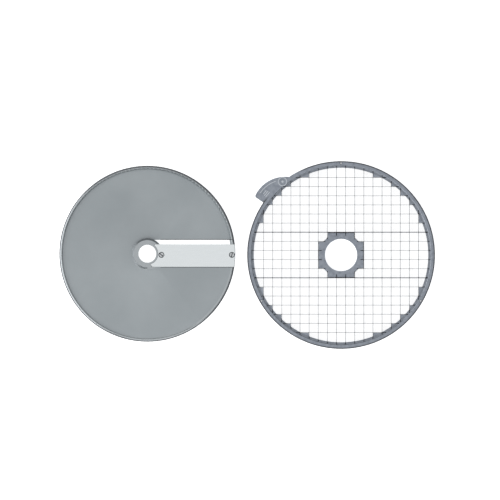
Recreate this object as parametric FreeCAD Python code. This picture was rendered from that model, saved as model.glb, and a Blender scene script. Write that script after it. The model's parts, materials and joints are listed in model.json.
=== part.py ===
import FreeCAD, Part
import math
import os

# Dicing kit of a vegetable cutter: a slicing disc and a dicing grid, lying side by side.
# Millimetres, +Z up, origin in the middle of the kit on the surface that it lies on.
# +X runs from the disc to the grid. The cutting side of both pieces is up.

# ---- driving sizes: the kit ----
KIT_GAP = 13.0              # clear space between the disc and the grid
DISC_SHIFT_Y = 1.4          # the disc lies this much further back than the grid

# ---- driving sizes: dicing grid ----
DICE = 10.0                 # edge of the diced cube, which is the pitch of the blades
EDGE_CELL = 4.0             # least width of the cells along the ring
GRID_D = 206.0              # ring, outside
RING_W = 7.2                # ring wall at the flange, from the inner circle outwards
RING_H = 16.0
FLANGE_H = 8.0              # upper part of the ring, which rests in the machine
FLANGE_LIP = 2.0            # how far the flange stands out over the skirt below it
LEDGE_W = 2.4               # lower inner step of the ring, which holds the blade ends
LEDGE_DROP = 1.5            # ledge below the ring's top
TOP_ROUND = 0.9             # rounding of the ring's top edges
TOOTH_FILLET = 2.0
TOOTH_FILLET_SHARE = 0.45   # most of a tooth's side that its rounding takes
BLADE_T = 0.5
BLADE_H = 11.0
BLADE_TOP_DROP = 2.0        # cutting edges below the ring's top
EDGE_H = 1.6                # height of the ground edge
EDGE_T = 0.16               # thickness left at the very edge
BAR_T = 1.0                 # the two stout bars that carry the hub
BAR_FOOT = 1.0              # bars above the surface that the grid lies on
SLOT_GAP = 0.15             # blade to each side of its slot
END_GAP = 0.1               # blade end to the end of its slot
LAP_GAP = 0.05              # blade to each side of a half-lap notch
HUB_BORE_R = 17.7
HUB_WALL = 4.3              # metal left between the bore and the slots in the arm ends
HUB_SLOT_MIN = 2.5          # least depth of those slots
HUB_CORNER_RUN = 4.9        # cut corner between two arms, along each arm's side
HUB_CORNER_SLOT = 2.2       # slots in the cut corners
HUB_CHAMFER = 0.5
PIN_R = 1.25
PIN_LEN = 6.0
PIN_SINK = 0.5              # countersink round each pin
PIN_CHAMFER = 0.3
PIN_INSET = 2.3             # pin centres inside the ring's edge
PIN_ANGLES = (90.0, 210.0, 330.0)
LUG_ARC_R = 36.0            # outline of the lifting lug
LUG_ARC_INSET = 23.7        # centre of that arc inside the ring's edge
LUG_ARC_ANGLE = 141.0
LUG_ARC_START = 80.0
LUG_END_ANGLE = 146.0       # straight end of the lug
LUG_T = 6.0
LUG_CORNER = 2.5
MARK_H = 0.4                # raised marks on the lug
MARK_ROOT = 0.5             # how deep the marks start inside the lug
MARK_W = 0.9
MARK_RING_R = 5.0
MARK_RING_ANGLE = 128.6
MARK_DOT_R = 1.3
MARK_LINE_INSET = 3.0       # curved line inside the lug's outline
MARK_LINE_ANGLES = (108.0, 146.0)
MARK_BAR_LENGTHS = (7.0, 7.0, 5.0)
MARK_BAR_PITCH = 2.0
MARK_BAR_ANGLE = 140.5

# ---- driving sizes: slicing disc ----
DISC_D = 193.0
DISC_H = 18.0
SLICE = 10.0                # thickness of a slice: knife top above the low end of the ramp
RAMP_T = 3.0
RAMP_ROOT = 2.0             # how far the ramp reaches into the hub boss
RIM_TOP_W = 3.2
RIM_IN_ROUND = 0.6          # rounding of the rim's inner edge; the rest of its top rounds over outwards
RIM_FOOT_W = 4.4
LAND_ANGLE = 52.0           # level land each side of the knife
SHAFT_R = 9.8               # bore on the machine's shaft
BOSS_WALL = 7.2             # hub boss round the bore
BOSS_CHAMFER = 2.0
BUSH_WALL = 3.8
BUSH_COVER = 1.0            # top of the bush below the screws
BUSH_FIT = 0.03
DRIVE_SLOT_W = 6.0
DRIVE_SLOT_H = 4.0
KNIFE_T = 2.0
KNIFE_FRONT = 10.3          # cutting edge, ahead of the disc's centre line
KNIFE_BACK = -14.4
COLLAR_W = 2.2              # collar between the bore and the knife's hollow end
KNIFE_OUTER_GAP = 0.4       # knife's outer end short of the rim's outside
KNIFE_TOE_DROP = 1.1        # top of the hollow end behind the cutting edge
KNIFE_TOE_RUN = 0.8         # from there out to the start of the cutting edge
KNIFE_HEEL_ANGLE = -75.0    # bottom of the hollow end, seen from the axis
KNIFE_HEEL_RUN = 2.8        # from there out to the start of the back edge
KNIFE_FIT = 0.2             # knife to the walls of its pocket
BEVEL_W = 6.0               # ground bevel, on the underside of the knife
BEVEL_EDGE_T = 0.12
SLOT_W = 4.9                # opening ahead of the cutting edge
SLOT_INSET = 5.1            # outer end of that opening inside the disc's edge
SEAT_T = 4.0                # bar under the knife
SEAT_SETBACK = 6.5          # seat's front face behind the cutting edge
SCREW_R = 2.0
SCREW_HEAD_R = 3.1
SCREW_HEAD_H = 1.3
SCREW_LEN = 8.0             # shank and head together
SCREW_TIP = 0.6             # chamfer at the end of the shank
SCREW_Y = -1.2
SCREW_INNER_INSET = 3.5     # screw centres from the knife's ends
SCREW_OUTER_INSET = 3.3
SCREW_HOLE_GAP = 0.25       # shank to the hole in the knife
SCREW_HEAD_GAP = 0.12       # head to its countersink
THREAD_GAP = 0.06           # shank to the tapped hole
TAP_RUN = 1.0               # tapped hole below the screw's end
SCREW_SLOT_W = 0.9
SCREW_SLOT_H = 0.7
SCREW_INNER_TURN = -40.0    # direction of the screwdriver slots
SCREW_OUTER_TURN = 78.0
SCREW_BOSS_R = 4.6
SCREW_BOSS_H = 11.0
SCREW_BOSS_INSET = 0.5      # outer screw boss short of the disc's edge

# ---- places worked out from them ----
KIT_W = DISC_D + KIT_GAP + GRID_D
DISC_X = -KIT_W / 2 + DISC_D / 2
GRID_X = KIT_W / 2 - GRID_D / 2
RING_R = GRID_D / 2
RING_IN_R = RING_R - RING_W
LEDGE_R = RING_IN_R + LEDGE_W
LEDGE_Z = RING_H - LEDGE_DROP
BLADE_TOP = RING_H - BLADE_TOP_DROP
BLADE_BOTTOM = BLADE_TOP - BLADE_H
LAP_Z = (BLADE_TOP + BLADE_BOTTOM) / 2
BLADE_LINES = 2 * int((RING_IN_R - EDGE_CELL) / DICE + 0.5)
LINES = [(i - (BLADE_LINES - 1) / 2) * DICE for i in range(BLADE_LINES)]
HUB_DICE = math.ceil((HUB_BORE_R + HUB_WALL + HUB_SLOT_MIN) / DICE - 0.5)
BAR_LINE = (HUB_DICE + 0.5) * DICE
SIDE_LINE = BAR_LINE - DICE
HUB_H = RING_H
HUB_END = BAR_LINE - BLADE_T / 2 - LAP_GAP
HUB_END_AT_BAR = BAR_LINE - BAR_T / 2
HUB_SIDE = SIDE_LINE - BLADE_T / 2 - SLOT_GAP
HUB_CORNER = HUB_SIDE + HUB_CORNER_RUN
PIN_CIRCLE_R = RING_R - PIN_INSET
TOOTH_OFFSET = BLADE_T / 2 + SLOT_GAP
DISC_R = DISC_D / 2
RIM_IN_R = DISC_R - RIM_TOP_W
RIM_FOOT_R = DISC_R - RIM_FOOT_W
RIM_PEAK_R = RIM_IN_R + RIM_IN_ROUND
LAND_LOW_Z = DISC_H - SLICE
BOSS_R = SHAFT_R + BOSS_WALL
BUSH_R = SHAFT_R + BUSH_WALL
BUSH_H = DISC_H - SCREW_LEN - BUSH_COVER
KNIFE_Z = DISC_H - KNIFE_T
KNIFE_INNER_R = SHAFT_R + COLLAR_W
KNIFE_TOE_ANGLE = math.degrees(math.asin((KNIFE_FRONT - KNIFE_TOE_DROP) / KNIFE_INNER_R))
KNIFE_OUTER_R = DISC_R - KNIFE_OUTER_GAP
KNIFE_ROOT_Y = KNIFE_BACK - KNIFE_FIT
SLOT_BACK_Y = KNIFE_FRONT + SLOT_W
SLOT_OUTER_R = DISC_R - SLOT_INSET
SEAT_FRONT = KNIFE_FRONT - SEAT_SETBACK
SCREW_INNER_X = KNIFE_INNER_R + SCREW_INNER_INSET
SCREW_OUTER_X = KNIFE_OUTER_R - SCREW_OUTER_INSET
BIG = 300.0                 # longer than anything here, for cutting tools
BELOW = -1.0                # cutting tools start below the surface that the kit lies on
SAME = 0.01                 # two points nearer than this are the same corner

UP = FreeCAD.Vector(0, 0, 1)


def at(x, y, z=0.0):
    return FreeCAD.Vector(x, y, z)


def polar(radius, angle, z=0.0):
    return at(radius * math.cos(math.radians(angle)), radius * math.sin(math.radians(angle)), z)


def box(x0, x1, y0, y1, z0, z1):
    return Part.makeBox(x1 - x0, y1 - y0, z1 - z0, at(x0, y0, z0))


def tube(radius, z0, z1, centre=None):
    foot = at(0, 0, z0) if centre is None else at(centre.x, centre.y, z0)
    return Part.makeCylinder(radius, z1 - z0, foot, UP)


def line(a, b):
    return Part.LineSegment(a, b).toShape()


def arc(a, middle, b):
    return Part.Arc(a, middle, b).toShape()


def prism(edges, z0, z1):
    """Upright solid between two heights on a closed outline drawn at z = 0."""
    face = Part.Face(Part.Wire(edges))
    face.translate(at(0, 0, z0))
    return face.extrude(at(0, 0, z1 - z0))


def polygon_edges(points):
    return [line(a, b) for a, b in zip(points, points[1:] + points[:1])]


def turned(points):
    """Solid of revolution about Z from (radius, height) corners."""
    corners = [at(r, 0, z) for r, z in points]
    face = Part.Face(Part.Wire(polygon_edges(corners)))
    return face.revolve(at(0, 0), UP, 360)


def fuse_all(shapes):
    return shapes[0].multiFuse(shapes[1:]).removeSplitter()


def reach_at(offset, radius):
    """Half length of the chord of a circle at this distance from its centre."""
    return math.sqrt(radius ** 2 - offset ** 2)


# ---- layout of the grid's blades: each way a list of lines, each with its spans ----

def slot_start(offset):
    """Bottom of the hub slot that the line at this offset ends in."""
    if abs(offset) < SIDE_LINE - DICE / 2:
        return reach_at(offset, HUB_BORE_R) + HUB_WALL
    return HUB_CORNER - HUB_CORNER_SLOT


def spans(offset):
    """Ends of the blades on one line, as (name ending, start, end)."""
    end = reach_at(offset, LEDGE_R) - END_GAP
    if abs(offset) >= BAR_LINE - DICE / 2:
        return [("", -end, end)]
    start = slot_start(offset) + END_GAP
    return [("low", -end, -start), ("high", start, end)]


def is_bar(offset):
    return abs(abs(offset) - BAR_LINE) < DICE / 2


def row_t(offset):
    return BAR_T if is_bar(offset) else BLADE_T


def row_foot(offset):
    return BAR_FOOT if is_bar(offset) else BLADE_BOTTOM


def covers(offset, along):
    return any(start < along < end for _, start, end in spans(offset))


def crossings(offset, start, end):
    """Lines of the other direction that the span from start to end meets."""
    return [c for c in LINES if start < c < end and covers(c, offset)]


def blade_blank(thickness, bottom, start, end):
    """Strip along X with its upper edge ground to a narrow flat."""
    half = thickness / 2
    shoulder = BLADE_TOP - EDGE_H
    section = [at(start, -half, bottom), at(start, half, bottom), at(start, half, shoulder),
               at(start, EDGE_T / 2, BLADE_TOP), at(start, -EDGE_T / 2, BLADE_TOP),
               at(start, -half, shoulder)]
    return Part.Face(Part.Wire(polygon_edges(section))).extrude(at(end - start, 0, 0))


def notch(along, other_t, z0, z1):
    half = other_t / 2 + LAP_GAP
    return box(along - half, along + half, -BAR_T, BAR_T, z0, z1)


def row_blade(offset, start, end):
    """Blade along X, notched from above for the blades that cross it."""
    blade = blade_blank(row_t(offset), row_foot(offset), start, end)
    cuts = [notch(c, BLADE_T, LAP_Z, RING_H) for c in crossings(offset, start, end)]
    blade = blade.cut(cuts)
    blade.translate(at(0, offset))
    return blade


def column_blade(offset, start, end):
    """Blade along Y, notched from below."""
    blade = blade_blank(BLADE_T, BLADE_BOTTOM, start, end)
    cuts = [notch(c, row_t(c), 0.0, LAP_Z) for c in crossings(offset, start, end)]
    blade = blade.cut(cuts)
    blade.rotate(at(0, 0), UP, 90)
    blade.translate(at(offset, 0))
    return blade


def slot_boxes():
    """Space that every blade end takes in the ring and in the hub, open at the top."""
    boxes = []
    for offset in LINES:
        row_half = row_t(offset) / 2 + SLOT_GAP
        column_half = BLADE_T / 2 + SLOT_GAP
        for _, start, end in spans(offset):
            low = start - END_GAP
            high = end + END_GAP
            boxes.append(box(low, high, offset - row_half, offset + row_half, row_foot(offset), BIG))
            boxes.append(box(offset - column_half, offset + column_half, low, high, BLADE_BOTTOM, BIG))
    return boxes


# ---- grid: ring ----

def ring_section():
    """Half section of the ring: skirt and flange outside, ledge inside, rounded top edges."""
    skirt_r = RING_R - FLANGE_LIP
    flange_z = RING_H - FLANGE_H
    round_z = RING_H - TOP_ROUND
    bulge = TOP_ROUND * math.sqrt(0.5)
    corners = [at(LEDGE_R, 0, round_z), at(LEDGE_R, 0, LEDGE_Z), at(RING_IN_R, 0, LEDGE_Z),
               at(RING_IN_R, 0, 0), at(skirt_r, 0, 0), at(skirt_r, 0, flange_z),
               at(RING_R, 0, flange_z), at(RING_R, 0, round_z)]
    outer_top = at(RING_R - TOP_ROUND, 0, RING_H)
    inner_top = at(LEDGE_R + TOP_ROUND, 0, RING_H)
    outer_bulge = at(RING_R - TOP_ROUND + bulge, 0, round_z + bulge)
    inner_bulge = at(LEDGE_R + TOP_ROUND - bulge, 0, round_z + bulge)
    sides = [line(a, b) for a, b in zip(corners, corners[1:])]
    top = [arc(corners[-1], outer_bulge, outer_top), line(outer_top, inner_top),
           arc(inner_top, inner_bulge, corners[0])]
    return sides + top


def tooth_corners():
    """Grid crossings whose outer cell is only a sliver, so the ring fills it."""
    corners = []
    for x in LINES:
        for y in LINES:
            inside = math.hypot(x, y) < RING_IN_R
            beyond = math.hypot(abs(x) + DICE, abs(y) + DICE) > RING_IN_R
            along_x = math.hypot(abs(x) + DICE, y) > RING_IN_R
            along_y = math.hypot(x, abs(y) + DICE) > RING_IN_R
            if inside and beyond and along_x and along_y:
                corners.append((x, y))
    return corners


def tooth(x, y):
    sx = math.copysign(1, x)
    sy = math.copysign(1, y)
    x0 = x + sx * TOOTH_OFFSET
    y0 = y + sy * TOOTH_OFFSET
    x1 = x0 + sx * DICE
    y1 = y0 + sy * DICE
    block = box(min(x0, x1), max(x0, x1), min(y0, y1), max(y0, y1), 0.0, LEDGE_Z)
    return block.common(tube(RING_IN_R + LEDGE_W / 2, 0.0, LEDGE_Z))


def is_upright_at(edge, spot):
    ends = [v.Point for v in edge.Vertexes]
    return len(ends) == 2 and all(math.hypot(p.x - spot.x, p.y - spot.y) < SAME for p in ends)


def round_tooth(ring, x, y):
    """Ring with the two inner corners of one tooth rounded, as far as the tooth's sides allow."""
    near_x = abs(x) + TOOTH_OFFSET
    near_y = abs(y) + TOOTH_OFFSET
    far_x = reach_at(near_y, RING_IN_R)
    far_y = reach_at(near_x, RING_IN_R)
    for px, py, side, turn in ((near_x, far_y, far_y - near_y, math.atan2(far_y, near_x)),
                               (far_x, near_y, far_x - near_x, math.atan2(far_x, near_y))):
        spot = at(math.copysign(px, x), math.copysign(py, y))
        radius = min(TOOTH_FILLET, TOOTH_FILLET_SHARE * side / math.tan(turn / 2))
        ring = ring.makeFillet(radius, [e for e in ring.Edges if is_upright_at(e, spot)])
    return ring


def lug_centre():
    return polar(RING_R - LUG_ARC_INSET, LUG_ARC_ANGLE)


def lug():
    """Lifting lug: an arc outside the ring that ends in a straight radial edge."""
    centre = lug_centre()
    direction = polar(1.0, LUG_END_ANGLE)
    along = centre.dot(direction)
    off = math.sqrt(LUG_ARC_R ** 2 - centre.Length ** 2 + along ** 2)
    outer = direction * (along + off)
    root_r = (LEDGE_R + RING_R) / 2
    inner = direction * root_r
    start = centre + polar(LUG_ARC_R, LUG_ARC_START)
    end_angle = math.degrees(math.atan2(outer.y - centre.y, outer.x - centre.x))
    middle = centre + polar(LUG_ARC_R, (LUG_ARC_START + end_angle) / 2)
    inner_start = start * (root_r / start.Length)
    start_bearing = math.degrees(math.atan2(start.y, start.x))
    inner_middle = polar(root_r, (LUG_END_ANGLE + start_bearing) / 2)
    edges = [arc(start, middle, outer), line(outer, inner), arc(inner, inner_middle, inner_start),
             line(inner_start, start)]
    plate = prism(edges, RING_H - LUG_T, RING_H)
    corner = [e for e in plate.Edges if is_upright_at(e, outer)]
    return plate.makeFillet(LUG_CORNER, corner)


def lug_marks():
    """Plain raised marks on the lug: a ring, a dot, a curved line and three bars."""
    z0 = RING_H - MARK_ROOT
    z1 = RING_H + MARK_H
    ring_at = polar(RING_R, MARK_RING_ANGLE)
    marks = [tube(MARK_RING_R, z0, z1, ring_at).cut(tube(MARK_RING_R - MARK_W, z0, z1, ring_at))]
    marks.append(tube(MARK_DOT_R, z0, z1, ring_at))
    centre = lug_centre()
    band_r = LUG_ARC_R - MARK_LINE_INSET
    band = tube(band_r, z0, z1, centre).cut(tube(band_r - MARK_W, z0, z1, centre))
    ends = [centre + polar(LUG_ARC_R, angle) for angle in MARK_LINE_ANGLES]
    marks.append(band.common(prism(polygon_edges([centre] + ends), z0, z1)))
    for number, length in enumerate(MARK_BAR_LENGTHS):
        inset = RING_R + MARK_W + number * MARK_BAR_PITCH
        bar = box(inset, inset + MARK_W, -length / 2, length / 2, z0, z1)
        bar.rotate(at(0, 0), UP, MARK_BAR_ANGLE)
        marks.append(bar)
    return marks


def pin_spots():
    return [polar(PIN_CIRCLE_R, angle) for angle in PIN_ANGLES]


def make_ring():
    ring = Part.Face(Part.Wire(ring_section())).revolve(at(0, 0), UP, 360)
    plain = fuse_all([ring] + [tooth(x, y) for x, y in tooth_corners()])
    for x, y in tooth_corners():
        plain = round_tooth(plain, x, y)
    body = fuse_all([plain, lug()])
    body = body.cut(slot_boxes())
    for spot in pin_spots():
        body = body.cut(tube(PIN_R, RING_H - PIN_LEN, BIG, spot))
        sink = Part.makeCone(PIN_R, PIN_R + PIN_SINK, PIN_SINK, at(spot.x, spot.y, RING_H - PIN_SINK), UP)
        body = body.cut(sink)
    return fuse_all([body] + lug_marks())


def make_pins():
    """Three plain dowels set into the ring's top."""
    pins = []
    for spot in pin_spots():
        pin = tube(PIN_R, RING_H - PIN_LEN, RING_H, spot)
        top = [e for e in pin.Edges if all(abs(v.Z - RING_H) < SAME for v in e.Vertexes)]
        pins.append(pin.makeChamfer(PIN_CHAMFER, top))
    return Part.makeCompound(pins)


# ---- grid: hub ----

def hub_quadrant(turn):
    """Outline of a quarter of the hub, from one arm end to the next."""
    near = at(HUB_CORNER, HUB_SIDE)
    far = at(HUB_SIDE, HUB_CORNER)
    right_end, back_end = (HUB_END, HUB_END_AT_BAR) if turn % 180 == 0 else (HUB_END_AT_BAR, HUB_END)
    edges = [line(at(right_end, 0), at(right_end, HUB_SIDE)), line(at(right_end, HUB_SIDE), near),
             line(near, far), line(far, at(HUB_SIDE, back_end)),
             line(at(HUB_SIDE, back_end), at(0, back_end))]
    for edge in edges:
        edge.rotate(at(0, 0), UP, turn)
    return edges


def hub_block():
    """Cross-shaped block, its top edge chamfered all round."""
    edges = [e for turn in (0, 90, 180, 270) for e in hub_quadrant(turn)]
    block = prism(edges, 0.0, HUB_H - HUB_CHAMFER)
    outline = Part.Wire(edges)
    inset = outline.makeOffset2D(-HUB_CHAMFER)
    outline.translate(at(0, 0, HUB_H - HUB_CHAMFER))
    inset.translate(at(0, 0, HUB_H))
    return fuse_all([block, Part.makeLoft([outline, inset], True, True)])


def make_hub():
    return hub_block().cut(tube(HUB_BORE_R, BELOW, BIG)).cut(slot_boxes())


# ---- disc ----

def sector(radius, from_angle, to_angle, z0, z1):
    """Pie slice about the axis, anticlockwise between two angles under 180 degrees apart."""
    middle = (from_angle + to_angle) / 2
    edges = [line(at(0, 0), polar(radius, from_angle)),
             arc(polar(radius, from_angle), polar(radius, middle), polar(radius, to_angle)),
             line(polar(radius, to_angle), at(0, 0))]
    return prism(edges, z0, z1)


def ramp():
    """Screw surface that falls from the knife's back to the low land, clockwise from above."""
    turn = 360.0 - 2 * LAND_ANGLE
    inner = BOSS_R - RAMP_ROOT
    outer = RIM_PEAK_R
    pitch = SLICE * 360.0 / turn
    mid = (inner + outer) / 2
    path = Part.makeHelix(pitch, SLICE, mid)
    corners = [at(inner, 0, -RAMP_T), at(outer, 0, -RAMP_T), at(outer, 0, 0), at(inner, 0, 0)]
    section = Part.Wire(polygon_edges(corners))
    sweep = Part.BRepOffsetAPI.MakePipeShell(path)
    sweep.setBiNormalMode(UP)
    sweep.add(section)
    sweep.build()
    sweep.makeSolid()
    body = sweep.shape()
    body.translate(at(0, 0, LAND_LOW_Z))
    body.rotate(at(0, 0), UP, LAND_ANGLE)
    return body


def rim():
    """Upright rim, its foot thicker than its top, rounded over towards the outside."""
    out_round = RIM_TOP_W - RIM_IN_ROUND
    out_bulge = out_round * (1 - math.sqrt(0.5))
    in_bulge = RIM_IN_ROUND * (1 - math.sqrt(0.5))
    peak = at(RIM_PEAK_R, 0, DISC_H)
    shoulder_out = at(DISC_R, 0, DISC_H - out_round)
    shoulder_in = at(RIM_IN_R, 0, DISC_H - RIM_IN_ROUND)
    foot_in = at(RIM_FOOT_R, 0, LAND_LOW_Z - RAMP_T)
    floor_in = at(RIM_FOOT_R, 0, 0)
    floor_out = at(DISC_R, 0, 0)
    outer = arc(shoulder_out, at(DISC_R - out_bulge, 0, DISC_H - out_bulge), peak)
    inner = arc(peak, at(RIM_IN_R + in_bulge, 0, DISC_H - in_bulge), shoulder_in)
    edges = [line(floor_out, shoulder_out), outer, inner, line(shoulder_in, foot_in),
             line(foot_in, floor_in), line(floor_in, floor_out)]
    return Part.Face(Part.Wire(edges)).revolve(at(0, 0), UP, 360)


def knife_outline(grow, outer):
    """Closed outline of the knife, or of its pocket when grown by the fit."""
    inner = KNIFE_INNER_R - grow
    front = KNIFE_FRONT + grow
    back = KNIFE_BACK - grow
    widen = math.degrees(2 * grow / inner)
    hollow_top = polar(inner, KNIFE_TOE_ANGLE + widen)
    toe = at(hollow_top.x + KNIFE_TOE_RUN, front)
    hollow_foot = polar(inner, KNIFE_HEEL_ANGLE - widen)
    heel = at(hollow_foot.x + KNIFE_HEEL_RUN, back)
    front_end = at(reach_at(front, outer), front)
    back_end = at(reach_at(back, outer), back)
    return [line(toe, front_end), arc(front_end, at(outer, 0), back_end), line(back_end, heel),
            line(heel, hollow_foot), arc(hollow_foot, at(inner, 0), hollow_top), line(hollow_top, toe)]


def screw_spots():
    return {"inner": at(SCREW_INNER_X, SCREW_Y), "outer": at(SCREW_OUTER_X, SCREW_Y)}


def plate():
    """Ramp with its two level lands, open where the knife and the slot go."""
    high = sector(RIM_PEAK_R, -LAND_ANGLE, 0.0, DISC_H - RAMP_T, DISC_H)
    low = sector(RIM_PEAK_R, 0.0, LAND_ANGLE, LAND_LOW_Z - RAMP_T, LAND_LOW_Z)
    opening = box(0.0, BIG, KNIFE_ROOT_Y, SLOT_BACK_Y, BELOW, BIG)
    web = opening.common(tube(RIM_PEAK_R, 0.0, KNIFE_Z).cut(tube(SLOT_OUTER_R, BELOW, BIG)))
    seat = box(0.0, BIG, KNIFE_ROOT_Y - RAMP_T, SEAT_FRONT, KNIFE_Z - SEAT_T, KNIFE_Z)
    heel = box(0.0, BIG, KNIFE_ROOT_Y - RAMP_T, KNIFE_ROOT_Y, KNIFE_Z - SEAT_T, DISC_H)
    beam = fuse_all([seat, heel]).common(tube(RIM_PEAK_R, 0.0, DISC_H))
    return [fuse_all([high, low, ramp()]).cut(opening), web, beam]


def screw_pillars():
    inside = tube(DISC_R - SCREW_BOSS_INSET, 0.0, DISC_H)
    return [tube(SCREW_BOSS_R, KNIFE_Z - SCREW_BOSS_H, KNIFE_Z, spot).common(inside)
            for spot in screw_spots().values()]


def make_disc_body():
    boss = turned([(0.0, 0.0), (BOSS_R, 0.0), (BOSS_R, DISC_H - BOSS_CHAMFER),
                   (BOSS_R - BOSS_CHAMFER, DISC_H), (0.0, DISC_H)])
    body = fuse_all([rim()] + plate() + [boss] + screw_pillars())
    body = body.cut(prism(knife_outline(KNIFE_FIT, DISC_R + KNIFE_OUTER_GAP), KNIFE_Z, BIG))
    body = body.cut(tube(SHAFT_R, BELOW, BIG))
    body = body.cut(tube(BUSH_R + BUSH_FIT, BELOW, BUSH_H))
    for spot in screw_spots().values():
        body = body.cut(tube(SCREW_R + THREAD_GAP, DISC_H - SCREW_LEN - TAP_RUN, BIG, spot))
    return body


def make_bush():
    """Steel drive bush with two slots for the shaft's cross pin."""
    bush = tube(BUSH_R, 0.0, BUSH_H).cut(tube(SHAFT_R, BELOW, BIG))
    return bush.cut(box(-BIG, BIG, -DRIVE_SLOT_W / 2, DRIVE_SLOT_W / 2, BELOW, DRIVE_SLOT_H))


def make_knife():
    """Flat blade, ground on its underside, with two countersunk holes."""
    blank = prism(knife_outline(0.0, KNIFE_OUTER_R), KNIFE_Z, DISC_H)
    bevel_foot = KNIFE_FRONT - BEVEL_W
    edge_z = DISC_H - BEVEL_EDGE_T
    corners = [at(0, bevel_foot, KNIFE_Z), at(0, KNIFE_FRONT, edge_z), at(0, BIG, edge_z),
               at(0, BIG, BELOW), at(0, bevel_foot, BELOW)]
    bevel = Part.Face(Part.Wire(polygon_edges(corners))).extrude(at(BIG, 0, 0))
    knife = blank.cut(bevel)
    for spot in screw_spots().values():
        knife = knife.cut(tube(SCREW_R + SCREW_HOLE_GAP, BELOW, BIG, spot))
        neck = at(spot.x, spot.y, DISC_H - SCREW_HEAD_H)
        neck_r = SCREW_R + SCREW_HEAD_GAP
        knife = knife.cut(Part.makeCone(neck_r, SCREW_HEAD_R + SCREW_HEAD_GAP, SCREW_HEAD_H, neck, UP))
    return knife


def make_screw(spot, turn):
    """Slotted countersunk screw, its head level with the knife."""
    foot_z = DISC_H - SCREW_LEN
    neck_z = DISC_H - SCREW_HEAD_H
    screw = turned([(0.0, foot_z), (SCREW_R - SCREW_TIP, foot_z), (SCREW_R, foot_z + SCREW_TIP),
                    (SCREW_R, neck_z), (SCREW_HEAD_R, DISC_H), (0.0, DISC_H)])
    half = SCREW_SLOT_W / 2
    screw = screw.cut(box(-BIG, BIG, -half, half, DISC_H - SCREW_SLOT_H, BIG))
    screw.rotate(at(0, 0), UP, turn)
    screw.translate(spot)
    return screw


# ---- the kit ----

def blade_names():
    """Every blade of the grid with its name and solid."""
    named = {}
    for number, offset in enumerate(LINES, start=1):
        for ending, start, end in spans(offset):
            side = {"": "", "low": "_left", "high": "_right"}[ending]
            name = "row_blade_%02d%s" % (number, side)
            if is_bar(offset):
                name = "hub_bar_front" if offset < 0 else "hub_bar_back"
            named[name] = row_blade(offset, start, end)
            side = {"": "", "low": "_front", "high": "_back"}[ending]
            named["column_blade_%02d%s" % (number, side)] = column_blade(offset, start, end)
    return named


def make_kit():
    grid = {"grid_ring": make_ring(), "grid_hub": make_hub(), "ring_dowel_pins": make_pins()}
    grid.update(blade_names())
    spots = screw_spots()
    disc = {"disc_body": make_disc_body(), "drive_bush": make_bush(), "slicing_knife": make_knife(),
            "knife_screw_inner": make_screw(spots["inner"], SCREW_INNER_TURN),
            "knife_screw_outer": make_screw(spots["outer"], SCREW_OUTER_TURN)}
    for shape in grid.values():
        shape.translate(at(GRID_X, 0))
    for shape in disc.values():
        shape.translate(at(DISC_X, DISC_SHIFT_Y))
    grid.update(disc)
    return grid


os.makedirs("parts", exist_ok=True)
for node, shape in make_kit().items():
    shape.exportStep("parts/%s.step" % node)
    print("%-24s solids %d  valid %s  %9.1f mm3" % (node, len(shape.Solids), shape.isValid(), shape.Volume))
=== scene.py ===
# %% [markdown]
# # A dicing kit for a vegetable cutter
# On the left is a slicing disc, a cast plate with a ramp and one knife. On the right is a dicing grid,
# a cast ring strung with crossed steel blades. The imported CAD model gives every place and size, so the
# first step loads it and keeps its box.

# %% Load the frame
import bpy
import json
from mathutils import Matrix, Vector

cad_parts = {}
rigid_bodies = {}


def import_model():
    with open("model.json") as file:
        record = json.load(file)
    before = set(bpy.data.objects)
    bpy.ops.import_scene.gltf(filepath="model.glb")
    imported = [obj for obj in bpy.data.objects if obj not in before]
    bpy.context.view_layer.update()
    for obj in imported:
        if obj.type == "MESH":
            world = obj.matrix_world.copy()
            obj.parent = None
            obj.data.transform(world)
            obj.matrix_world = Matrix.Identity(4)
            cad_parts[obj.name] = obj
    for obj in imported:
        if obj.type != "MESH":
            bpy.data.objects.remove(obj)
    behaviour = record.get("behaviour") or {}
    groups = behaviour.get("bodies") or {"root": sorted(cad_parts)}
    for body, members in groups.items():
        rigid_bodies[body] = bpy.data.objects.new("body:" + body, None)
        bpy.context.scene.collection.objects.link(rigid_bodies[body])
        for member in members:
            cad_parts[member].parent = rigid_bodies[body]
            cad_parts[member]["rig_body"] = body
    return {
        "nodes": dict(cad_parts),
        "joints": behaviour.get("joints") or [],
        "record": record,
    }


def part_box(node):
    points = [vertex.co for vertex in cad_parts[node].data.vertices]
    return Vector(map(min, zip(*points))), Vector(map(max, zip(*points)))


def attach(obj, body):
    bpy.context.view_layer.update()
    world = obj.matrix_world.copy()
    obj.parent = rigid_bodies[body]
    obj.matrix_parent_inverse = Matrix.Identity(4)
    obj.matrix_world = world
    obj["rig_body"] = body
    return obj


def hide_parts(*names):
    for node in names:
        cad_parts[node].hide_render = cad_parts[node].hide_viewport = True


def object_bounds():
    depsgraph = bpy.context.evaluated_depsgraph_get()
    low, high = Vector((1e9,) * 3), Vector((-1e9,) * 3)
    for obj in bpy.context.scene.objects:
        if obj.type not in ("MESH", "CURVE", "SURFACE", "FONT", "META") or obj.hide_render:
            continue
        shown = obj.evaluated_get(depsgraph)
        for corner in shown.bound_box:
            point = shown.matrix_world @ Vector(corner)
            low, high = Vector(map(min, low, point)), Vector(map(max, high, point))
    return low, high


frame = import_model()
cad_low, cad_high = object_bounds()
print("nodes", len(frame["nodes"]), "box", [round(v, 4) for v in (*cad_low, *cad_high)])

# %% Names used all through
import json
import math
import bmesh
import bpy
from mathutils import Vector

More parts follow.
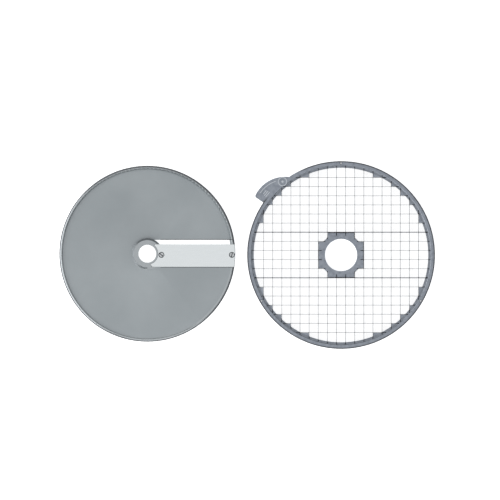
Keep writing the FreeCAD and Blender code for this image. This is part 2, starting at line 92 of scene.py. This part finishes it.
MM = 0.001
UP = Vector((0, 0, 1))
nodes = frame["nodes"]
disc_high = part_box("disc_body")[1]
ring_low, ring_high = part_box("grid_ring")
disc_axis = Vector(frame["joints"][0]["pos_m"])
grid_axis = Vector(((ring_low.x + ring_high.x) / 2, (ring_low.y + ring_high.y) / 2, 0))
print("disc axis", disc_axis, "grid axis", grid_axis)

# %% [markdown]
# ## Camera
# The picture's width is a real length here, which sets the distance.

# %% Camera
PICTURE_WIDTH = 548.2 * MM       # real width that the picture covers
LENS = 800.0
PICTURE_CENTRE = Vector((3.1 * MM, 5.5 * MM, 0))


def add_camera():
    data = bpy.data.cameras.new("top_camera")
    data.lens = LENS
    camera = bpy.data.objects.new("top_camera", data)
    bpy.context.scene.collection.objects.link(camera)
    distance = PICTURE_WIDTH * LENS / data.sensor_width
    camera.location = PICTURE_CENTRE + UP * (distance + cad_high.z)
    data.clip_end = 2 * distance
    bpy.context.scene.camera = camera
    return distance


print("camera distance", round(add_camera(), 2))

# %% [markdown]
# ## Floor, sky and lamps
# A wide lamp overhead gives flat metal its tone, and a lamp at the left lights the rounded edges that
# face it.

# %% Floor
FLOOR_DROP = 0.2 * MM
FLOOR_GLOW = 0.83


def plain_material(name):
    material = bpy.data.materials.new(name)
    material.use_nodes = True
    return material, material.node_tree.nodes["Principled BSDF"]


def add_floor():
    bm = bmesh.new()
    bmesh.ops.create_grid(bm, x_segments=1, y_segments=1, size=3.0)
    mesh = bpy.data.meshes.new("floor")
    bm.to_mesh(mesh)
    bm.free()
    floor = bpy.data.objects.new("floor", mesh)
    bpy.context.scene.collection.objects.link(floor)
    floor.location.z = -FLOOR_DROP
    material, shader = plain_material("white_table")
    shader.inputs["Base Color"].default_value = (0.9, 0.9, 0.9, 1)
    shader.inputs["Roughness"].default_value = 0.8
    shader.inputs["Emission Color"].default_value = (1, 1, 1, 1)
    shader.inputs["Emission Strength"].default_value = FLOOR_GLOW
    mesh.materials.append(material)
    return floor


print("floor", add_floor().name)

# %% Sky and lamps
SKY = 0.30


def set_sky():
    world = bpy.data.worlds.new("studio")
    world.use_nodes = True
    world.node_tree.nodes["Background"].inputs["Color"].default_value = (0.95, 0.98, 1.0, 1)
    world.node_tree.nodes["Background"].inputs["Strength"].default_value = SKY
    bpy.context.scene.world = world


def add_lamp(name, place, size, power):
    data = bpy.data.lights.new(name, "AREA")
    data.shape = "RECTANGLE"
    data.size, data.size_y = size
    data.energy = power
    lamp = bpy.data.objects.new(name, data)
    bpy.context.scene.collection.objects.link(lamp)
    lamp.location = place
    lamp.rotation_mode = "QUATERNION"
    lamp.rotation_quaternion = (-Vector(place)).to_track_quat("-Z", "Y")
    return lamp


set_sky()
add_lamp("overhead", (-0.3, -0.2, 2.2), (2.6, 2.6), 14)
add_lamp("left", (-1.5, -0.2, 0.95), (3.2, 1.1), 26)
add_lamp("front", (0.3, -1.8, 1.3), (1.8, 0.9), 7)
bpy.context.scene.view_settings.view_transform = "Standard"

# %% [markdown]
# ## Metals
# Every finish starts from one small recipe: a Principled shader, patterns read from Object coordinates,
# and a bump. Two more steps are shared. One blends a colour over what is already there. The other paints
# shade over metal: the painted shade is dark, doesn't mirror and isn't metallic, so it lowers those
# values together.


# %% Helpers for finishes
PAINTED_SHADE = (0.09, 0.095, 0.105)           # painted shade on cast metal
RECESS_SHADE = (0.045, 0.05, 0.06)             # painted shade in the laps and slots of the steel


class Finish:
    """A material under construction, with short names for its nodes."""

    def __init__(self, name, base, roughness):
        self.material = bpy.data.materials.new(name)
        self.material.use_nodes = True
        self.tree = self.material.node_tree
        self.shader = self.tree.nodes["Principled BSDF"]
        self.shader.inputs["Base Color"].default_value = (*base, 1)
        self.shader.inputs["Metallic"].default_value = 1.0
        self.shader.inputs["Roughness"].default_value = roughness
        self.object = self.add("ShaderNodeTexCoord").outputs["Object"]

    def add(self, kind, **settings):
        node = self.tree.nodes.new(kind)
        for key, value in settings.items():
            setattr(node, key, value)
        return node

    def join(self, output, node, socket):
        self.tree.links.new(output, node.inputs[socket])

    def placed(self, centre=(0, 0, 0), scale=(1, 1, 1)):
        """Object coordinates measured from a centre, then stretched."""
        shift = self.add("ShaderNodeVectorMath", operation="SUBTRACT")
        shift.inputs[1].default_value = centre
        self.join(self.object, shift, 0)
        mapping = self.add("ShaderNodeMapping")
        mapping.inputs["Scale"].default_value = scale
        self.join(shift.outputs[0], mapping, "Vector")
        return mapping.outputs["Vector"]

    def noise(self, scale, detail, vector=None):
        node = self.add("ShaderNodeTexNoise")
        node.inputs["Scale"].default_value = scale
        node.inputs["Detail"].default_value = detail
        self.join(self.object if vector is None else vector, node, "Vector")
        return node.outputs["Fac"]

    def spread(self, value, low, high, from_low=0.3, from_high=0.7):
        """A value from one range moved to another."""
        node = self.add("ShaderNodeMapRange")
        node.inputs["From Min"].default_value = from_low
        node.inputs["From Max"].default_value = from_high
        node.inputs["To Min"].default_value = low
        node.inputs["To Max"].default_value = high
        self.join(value, node, "Value")
        return node.outputs["Result"]

    def blend(self, factor, first, second):
        """Colour that goes from the first to the second."""
        node = self.add("ShaderNodeMix", data_type="RGBA")
        self.join(factor, node, "Factor")
        for socket, colour in ((6, first), (7, second)):
            if isinstance(colour, tuple):
                node.inputs[socket].default_value = (*colour, 1)
            else:
                self.tree.links.new(colour, node.inputs[socket])
        return node.outputs[2]

    def math(self, operation, first, second=None, third=None):
        node = self.add("ShaderNodeMath", operation=operation)
        for number, value in enumerate((first, second, third)):
            if value is None:
                continue
            if isinstance(value, (int, float)):
                node.inputs[number].default_value = value
            else:
                self.tree.links.new(value, node.inputs[number])
        return node.outputs[0]

    def parts(self, centre):
        """X, Y and Z measured from a centre."""
        node = self.add("ShaderNodeSeparateXYZ")
        self.join(self.placed(centre), node, "Vector")
        return node.outputs

    def radius(self, centre):
        """Distance from an upright axis."""
        length = self.add("ShaderNodeVectorMath", operation="LENGTH")
        self.join(self.placed(centre, (1, 1, 0)), length, 0)
        return length.outputs["Value"]

    def band(self, value, start, end, soft):
        """One between two values, with soft ends."""
        rising = self.spread(value, 0, 1, start - soft, start)
        falling = self.spread(value, 1, 0, end, end + soft)
        return self.math("MULTIPLY", rising, falling)

    def cover(self, amount, colour):
        """A colour over the present base colour."""
        present = self.shader.inputs["Base Color"].links[0].from_socket
        self.join(self.blend(amount, present, colour), self.shader, "Base Color")

    def paint_shade(self, amount, unshaded):
        """Painted shade over an unshaded tone: dark, and no longer a mirror."""
        self.join(self.blend(amount, unshaded, PAINTED_SHADE), self.shader, "Base Color")
        clear = self.math("SUBTRACT", 1.0, amount)
        self.join(clear, self.shader, "Metallic")
        self.join(self.math("MULTIPLY", clear, 0.5), self.shader, "Specular IOR Level")

    def bump(self, height, distance, strength, under=None):
        node = self.add("ShaderNodeBump")
        node.inputs["Distance"].default_value = distance
        node.inputs["Strength"].default_value = strength
        self.join(height, node, "Height")
        if under is not None:
            self.join(under, node, "Normal")
        return node.outputs["Normal"]


# %% [markdown]
# ### Aluminium
# The ring and the hub are sand-blasted castings: a mottled blue-grey, with a fine grain. The disc is cast
# too, but its food side is turned and polished smooth, so its tone is even, and its rim and its hub face
# carry fine rings from the lathe and a painted highlight. The patterns are made from noise and from the
# distance to the axis, which is how a lathe marks a part. Painted shade follows the outer wall of both
# castings just below the top, the ring's lower ledge, the slot's lip and the joint behind the knife.
# The tops of the lug's raised marks and the flange's inner edge get a painted highlight. The distances
# come from the axis and from the top of each piece, so the masks turn with the disc.

# %% Cast aluminium of the ring and the hub
HIGHLIGHT_TONE = (0.60, 0.63, 0.67)              # lighter tone of the painted highlights
SHADE_DEPTH = 3.5 * MM                 # how far down the wall the painted shade reaches
LUG_WAY = (-0.63, 0.777)               # direction from the ring's axis to the lug
LUG_SPAN = (98.5 * MM, 100.5 * MM)     # distances that way over which the painted shade gives way to the lug
MARKS_TOP = (0.3 * MM, 0.1 * MM)       # depths over which a raised mark turns lighter, a painted highlight
LEDGE = (95.9 * MM, 97.5 * MM)         # radii of the ring's lower ledge
# strength of the painted shade on the ring's lower ledge, below the flange's step
LEDGE_SHADE = 0.3
FLANGE_EDGE = (98.0 * MM, 98.7 * MM)   # radii of the flange's inner rounding
# strength of the painted highlight on the flange's inner edge
EDGE_HIGHLIGHT = 0.25
SOFT = 0.3 * MM                        # soft end of a band


def paint_wall_shade(f, radius, z, outside, start, full):
    """Painted shade: a dark line on the upper part of an outer wall, from two distances inside it."""
    line = f.spread(radius, 0, 1, outside - start, outside - full)
    return f.math("MULTIPLY", line, f.spread(z, 0, 1, -SHADE_DEPTH - MM, -SHADE_DEPTH))


def cast_aluminium():
    f = Finish("cast_aluminium", (0.33, 0.36, 0.41), 0.5)
    blotch = f.noise(260, 5.0)
    grain = f.noise(1500, 4.0)
    tone = f.blend(f.spread(blotch, 0, 1), (0.27, 0.295, 0.34), (0.375, 0.405, 0.455))
    x, y, z = f.parts((grid_axis.x, grid_axis.y, ring_high.z))
    radius = f.radius(grid_axis)
    # painted highlight: the tops of the raised marks and the flange's inner edge are lighter
    marks = f.spread(z, 0, 1, -MARKS_TOP[0], -MARKS_TOP[1])
    edge = f.math("MULTIPLY", f.band(radius, *FLANGE_EDGE, SOFT), EDGE_HIGHLIGHT)
    highlighted = f.blend(f.math("MAXIMUM", marks, edge), tone, HIGHLIGHT_TONE)
    to_lug = f.math("MULTIPLY_ADD", x, LUG_WAY[0], f.math("MULTIPLY", y, LUG_WAY[1]))
    off_lug = f.spread(to_lug, 1, 0, *LUG_SPAN)
    # painted shade along the upper outer wall, giving way at the lug
    ring_radius = ring_high.x - grid_axis.x
    wall_shade = paint_wall_shade(f, radius, z, ring_radius, 1.6 * MM, 0.9 * MM)
    # painted shade on the lower ledge
    ledge_shade = f.math("MULTIPLY", f.band(radius, *LEDGE, SOFT), LEDGE_SHADE)
    f.paint_shade(f.math("MAXIMUM", f.math("MULTIPLY", wall_shade, off_lug), ledge_shade), highlighted)
    f.join(f.spread(grain, 0.38, 0.6), f.shader, "Roughness")
    f.join(f.bump(grain, 0.1 * MM, 0.6, f.bump(blotch, 0.25 * MM, 0.4)), f.shader, "Normal")
    return f.material


# %% Disc aluminium, smooth and satin
DISC_RADIUS = disc_high.x - disc_axis.x
RIM_START = DISC_RADIUS - 3.6 * MM     # where the turned rim begins
HUB_FACE_END = 17.2 * MM
PAST_HUB = (14 * MM, 15 * MM)          # the painted shade lines along the knife start here
LIP_LINE = 15.2 * MM                   # edge of the plate at the slot, from the disc's centre line
LIP_WIDTH = 0.7 * MM
# strength of the painted shade along the slot's lip
LIP_SHADE = 0.8
KNIFE_LINE = -14.7 * MM                # joint behind the knife
JOINT_WIDTH = 0.5 * MM
# strength of the painted shade in the joint behind the knife
JOINT_SHADE = 0.6
LATHE_WAVES = 14000.0                  # radians per metre of the lathe's rings


def disc_painted_shade(f, radius):
    """Painted shade: dark lines on the outer wall, the slot's lip and the joint behind the knife."""
    x, y, z = f.parts((disc_axis.x, disc_axis.y, disc_high.z))
    wall_shade = paint_wall_shade(f, radius, z, DISC_RADIUS, 1.4 * MM, 0.8 * MM)
    past_hub = f.spread(x, 0, 1, *PAST_HUB)
    lip_shade = f.math("MULTIPLY", f.band(y, LIP_LINE, LIP_LINE + LIP_WIDTH, SOFT), LIP_SHADE)
    joint_shade = f.math("MULTIPLY", f.band(y, KNIFE_LINE - JOINT_WIDTH, KNIFE_LINE, SOFT), JOINT_SHADE)
    return f.math("MAXIMUM", wall_shade, f.math("MULTIPLY", f.math("ADD", lip_shade, joint_shade), past_hub))


def disc_aluminium():
    f = Finish("disc_aluminium", (0.36, 0.39, 0.40), 0.42)
    cloud = f.noise(18, 4.0)
    grain = f.noise(2200, 3.0)
    radius = f.radius(disc_axis)
    on_rim = f.spread(radius, 0, 1, RIM_START, RIM_START + 0.3 * MM)
    on_hub = f.spread(radius, 1, 0, HUB_FACE_END, HUB_FACE_END + 0.3 * MM)
    rings = f.math("SINE", f.math("MULTIPLY", radius, LATHE_WAVES))
    tone = f.blend(f.spread(cloud, 0, 1), (0.345, 0.375, 0.39), (0.395, 0.425, 0.44))
    # painted highlight: the rim and the hub face are lighter than the plate
    tone_and_highlight = f.blend(f.math("ADD", on_rim, on_hub), tone, (0.42, 0.445, 0.46))
    f.paint_shade(disc_painted_shade(f, radius), tone_and_highlight)
    satin = f.spread(grain, 0.36, 0.44)
    f.join(f.math("MULTIPLY_ADD", on_rim, -0.16, satin), f.shader, "Roughness")
    marks = f.bump(f.math("MULTIPLY", f.math("ADD", on_rim, on_hub), rings), 0.004 * MM, 0.5)
    f.join(f.bump(grain, 0.02 * MM, 0.4, marks), f.shader, "Normal")
    return f.material


# %% [markdown]
# ### Steels
# The knife is ground along its length and polished, so its streaks run from the hub to the rim. The
# grid's blades are thinner and duller. Painted shade darkens the spots where two blades are lapped together
# and where their ends sit in the castings: the distance to the nearest blade line gives the crossings,
# and the distance from the ring's axis gives the ends. The screws are bright, with painted shade in the
# driver's slot and in a line round the head, found from the depth below the disc's top and from the
# distance to the nearer screw's axis.

# %% Steels
BLADE_PITCH = 10 * MM
CROSSING_REACH = 1.1 * MM
# strength of the painted shade where two blades are lapped
CROSSING_SHADE = 0.45
RING_ENDS = (94.8 * MM, 95.6 * MM)     # radii over which painted shade darkens the blades towards the ring
HUB_ENDS = (25.2 * MM, 25.8 * MM)      # the same towards the hub
HEAD_LINE = (1.0 * MM, 0.5 * MM)       # painted shade round a screw head, inwards from its edge
SLOT_SHADE = (0.25 * MM, 0.06 * MM)    # depths over which a driver's slot darkens


def steel(name, dark, light, rough_low, rough_high, stretch):
    f = Finish(name, light, rough_high)
    lines = f.noise(1.0, 4.0, f.placed(scale=stretch))
    f.join(f.blend(f.spread(lines, 0, 1), dark, light), f.shader, "Base Color")
    f.join(f.spread(lines, rough_low, rough_high), f.shader, "Roughness")
    f.join(f.bump(lines, 0.01 * MM, 0.4), f.shader, "Normal")
    return f


def near_line(f, along):
    """One on a blade line and zero half way between two, for one direction."""
    half = BLADE_PITCH / 2
    return f.spread(f.math("PINGPONG", along, half), 0, 1, half - CROSSING_REACH, half - CROSSING_REACH / 3)


def grid_steel(name, dark, light):
    """Steel of the grid, with painted shade at the crossings and at the blade ends."""
    f = steel(name, dark, light, 0.3, 0.45, (400, 400, 3000))
    x, y = f.parts(grid_axis)[:2]
    crossing_shade = f.math("MULTIPLY", near_line(f, x), near_line(f, y))
    radius = f.radius(grid_axis)
    at_ring = f.spread(radius, 0, 1, *RING_ENDS)
    at_hub = f.spread(radius, 1, 0, *HUB_ENDS)
    end_shade = f.math("ADD", at_ring, at_hub)
    f.cover(f.math("MINIMUM", f.math("MULTIPLY_ADD", crossing_shade, CROSSING_SHADE, end_shade), 1.0), RECESS_SHADE)
    return f


def screw_steel():
    """Bright heads, with painted shade in the driver's slot and round the head."""
    f = steel("screw_steel", (0.50, 0.52, 0.53), (0.62, 0.64, 0.65), 0.25, 0.4, (900, 900, 900))
    slot_darkening = f.spread(f.parts((0, 0, disc_high.z))[2], 1, 0, -SLOT_SHADE[0], -SLOT_SHADE[1])
    boxes = [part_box(node) for node in ("knife_screw_inner", "knife_screw_outer")]
    head_radius = (boxes[0][1].x - boxes[0][0].x) / 2
    from_axis = f.math("MINIMUM", *[f.radius((low + high) / 2) for low, high in boxes])
    head_shade_line = f.spread(from_axis, 0, 1, head_radius - HEAD_LINE[0], head_radius - HEAD_LINE[1])
    f.cover(f.math("MAXIMUM", slot_darkening, head_shade_line), RECESS_SHADE)
    return f


PLAIN_STEELS = {                       # dark and light tone, lowest and highest roughness, stretch
    "knife_steel": ((0.71, 0.74, 0.75), (0.77, 0.80, 0.81), 0.16, 0.26, (60, 3000, 60)),
    "bush_steel": ((0.4, 0.41, 0.42), (0.55, 0.56, 0.57), 0.3, 0.45, (900, 900, 3000)),
    "pin_steel": ((0.5, 0.51, 0.53), (0.65, 0.66, 0.68), 0.3, 0.4, (900, 900, 900)),
}
GRID_STEELS = {                        # dark and light tone
    "blade_steel": ((0.28, 0.29, 0.31), (0.37, 0.38, 0.40)),
    "bar_steel": ((0.19, 0.20, 0.23), (0.26, 0.27, 0.30)),
}
finishes = {slot: steel(slot, *look).material for slot, look in PLAIN_STEELS.items()}
finishes.update({slot: grid_steel(slot, *look).material for slot, look in GRID_STEELS.items()})
finishes["screw_steel"] = screw_steel().material
finishes["cast_aluminium"] = cast_aluminium()
finishes["disc_aluminium"] = disc_aluminium()
print("metals", sorted(finishes))

# %% Give every CAD node its finish
slots = {s["node"]: s["material_slot"] for s in frame["record"]["subparts"]}
for name, node in nodes.items():
    node.data.materials.clear()
    node.data.materials.append(finishes[slots[name]])
print("finishes", len(finishes))

# %% [markdown]
# ## Rounded copies of the castings and the knife
# A casting has no razor-sharp corner, because the mould and the tumbling afterwards round it, and even a
# ground knife has its corners broken. The CAD mesh has sharp corners, so each of these pieces is a copy
# of it: its doubled points are merged, flat areas are joined, and every corner sharper than thirty
# degrees is bevelled. Shading is then weighted by face area, so that flat metal stays flat right up to
# the rounding. The copies share the CAD's outer box.

# %% Rounded copies
SHARP_CORNER = math.radians(30)
FLAT_ANGLE = math.radians(0.5)
SAME_POINT = 0.002 * MM
ROUNDINGS = {                          # width of each bevel and its steps
    "grid_ring": (0.25 * MM, 2),
    "grid_hub": (0.25 * MM, 2),
    "disc_body": (0.3 * MM, 2),
    "slicing_knife": (0.08 * MM, 2),
    "drive_bush": (0.2 * MM, 2),
    "knife_screw_inner": (0.3 * MM, 3),
    "knife_screw_outer": (0.3 * MM, 3),
}


def corner_edges(bm):
    return [e for e in bm.edges if len(e.link_faces) == 2 and e.calc_face_angle(0) > SHARP_CORNER]


def rounded_copy(node, width, steps):
    """New piece with the node's shape and softened corners, in the node's place and body."""
    bm = bmesh.new()
    bm.from_mesh(nodes[node].data)
    bmesh.ops.remove_doubles(bm, verts=bm.verts, dist=SAME_POINT)
    bmesh.ops.dissolve_limit(bm, angle_limit=FLAT_ANGLE, verts=bm.verts, edges=bm.edges)
    corners = corner_edges(bm)
    bmesh.ops.bevel(bm, geom=corners, offset=width, offset_type="OFFSET", affect="EDGES", segments=steps,
                    profile=0.5, clamp_overlap=True, material=-1)
    bmesh.ops.recalc_face_normals(bm, faces=bm.faces)
    for face in bm.faces:
        face.smooth = True
    for edge in bm.edges:
        edge.smooth = len(edge.link_faces) != 2 or edge.calc_face_angle(0) < SHARP_CORNER
    mesh = bpy.data.meshes.new(node + "_cast")
    bm.to_mesh(mesh)
    bm.free()
    piece = bpy.data.objects.new(node + "_rounded", mesh)
    bpy.context.scene.collection.objects.link(piece)
    mesh.materials.append(finishes[slots[node]])
    even = piece.modifiers.new("even_shading", "WEIGHTED_NORMAL")
    even.keep_sharp = True
    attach(piece, nodes[node]["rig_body"])
    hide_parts(node)
    print(node, "corners", len(corners), "faces", len(mesh.polygons))


for node, (width, steps) in ROUNDINGS.items():
    rounded_copy(node, width, steps)
